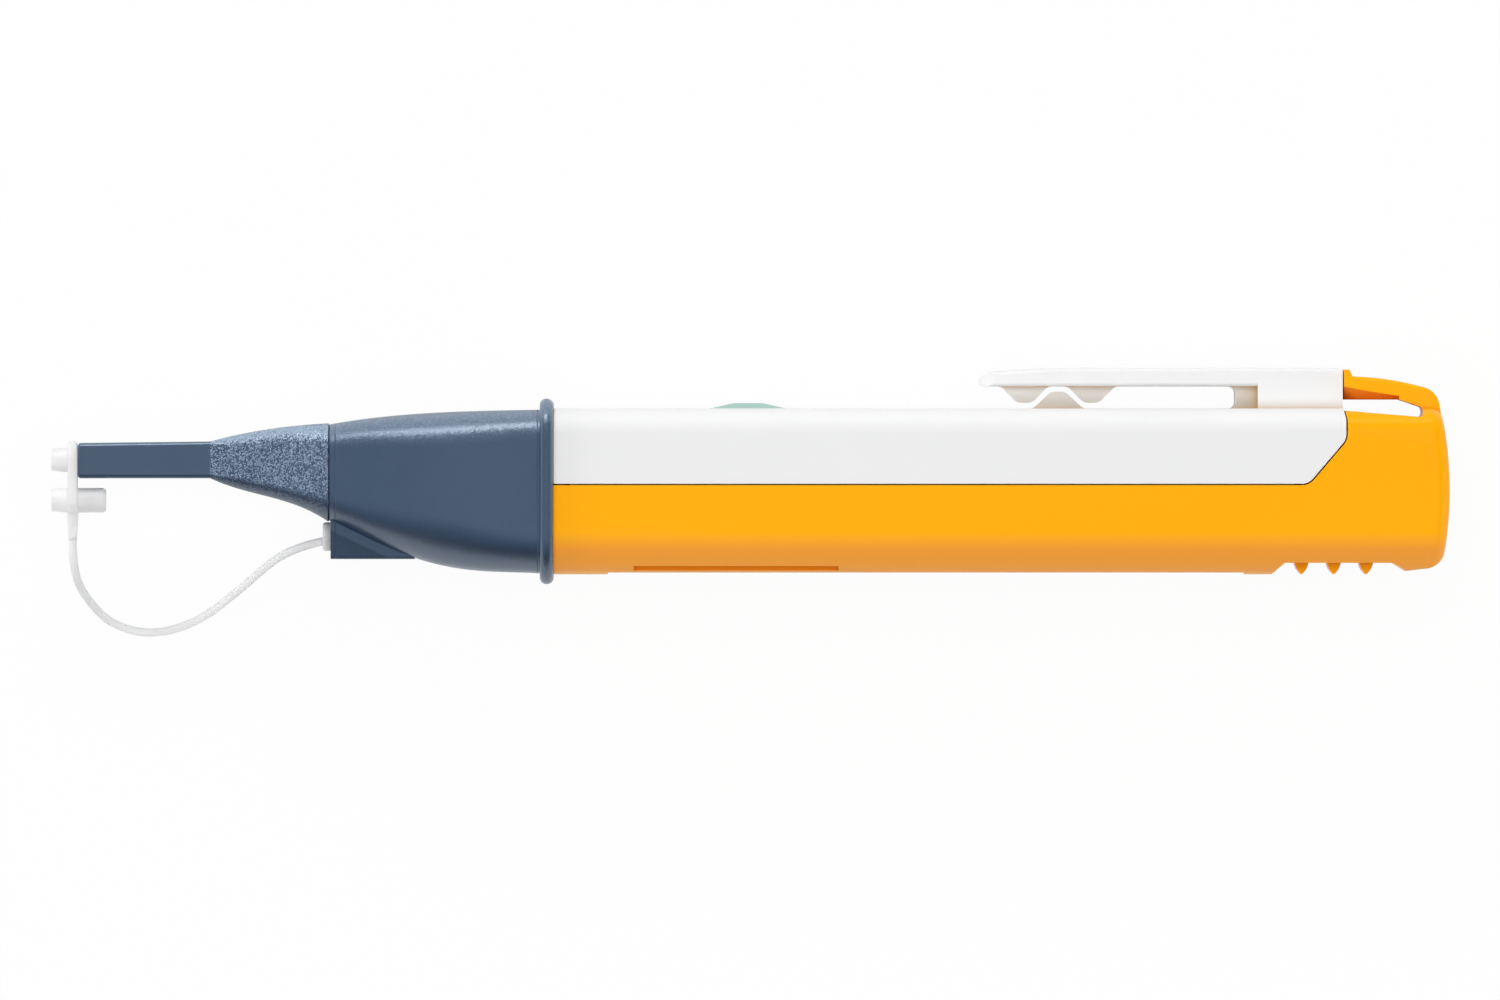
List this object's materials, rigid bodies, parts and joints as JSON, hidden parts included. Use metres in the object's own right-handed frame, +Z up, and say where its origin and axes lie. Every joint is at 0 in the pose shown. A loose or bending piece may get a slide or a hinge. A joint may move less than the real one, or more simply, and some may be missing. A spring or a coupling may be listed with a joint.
{
  "type": "live fiber detector",
  "caption": "Pen-shaped live fibre detector: square probe tip with a tethered dust plug, push button, pocket clip and slide-off battery cover.",
  "frame": {"origin": "middle of the outline of body and probe, on the surface that the detector lies on", "axes": "+X towards the tail, +Y towards the clip and button, +Z up out of the detector's side"},
  "size_m": [0.1703, 0.0329, 0.0244],
  "materials": {
    "white_shell": "fine satin moulding",
    "yellow_shell": "fine satin moulding",
    "blue_shell": "spark-textured moulding",
    "button_green": "translucent moulding",
    "clear_strap": "milky translucent moulding",
    "window_glass": "polished",
    "black_epoxy": "moulded",
    "plated_steel": "nickel plated",
    "board_green": "solder mask",
    "led_lens": "moulded",
    "tray_plastic": "moulded",
    "cell_wrap": "plain sleeve"
  },
  "bodies": {
    "housing": {"upper_housing": "white_shell", "nose_sleeve": "blue_shell", "probe_tip": "blue_shell", "sensor_window": "window_glass", "photodiode": "black_epoxy", "sensor_leads": "plated_steel", "circuit_board": "board_green", "switch_body": "black_epoxy", "indicator_led": "led_lens", "buzzer": "black_epoxy", "microcontroller": "black_epoxy", "amplifier_chip": "black_epoxy", "battery_tray": "tray_plastic", "battery_front": "cell_wrap", "battery_rear": "cell_wrap", "positive_contact": "plated_steel", "negative_contact": "plated_steel", "chassis_screw": "plated_steel", "tether_anchor": "clear_strap", "tether": "clear_strap"},
    "button": {"push_button": "button_green", "switch_plunger": "tray_plastic"},
    "cover": {"battery_cover": "yellow_shell"},
    "cap": {"dust_cap": "clear_strap"}
  },
  "joints": [
    {"name": "button_press", "type": "slide", "parent": "housing", "child": "button", "axis": [0, -1, 0], "range_m": [0, 0.0005], "stiffness_N_per_m": 600, "springref_m": -0.0003},
    {"name": "cover_slide", "type": "slide", "parent": "housing", "child": "cover", "axis": [1, 0, 0], "range_m": [0, 0.095]},
    {"name": "cap_pull", "type": "slide", "parent": "housing", "child": "cap", "axis": [-1, 0, 0], "range_m": [0, 0.012], "deforming": ["tether"]}
  ]
}
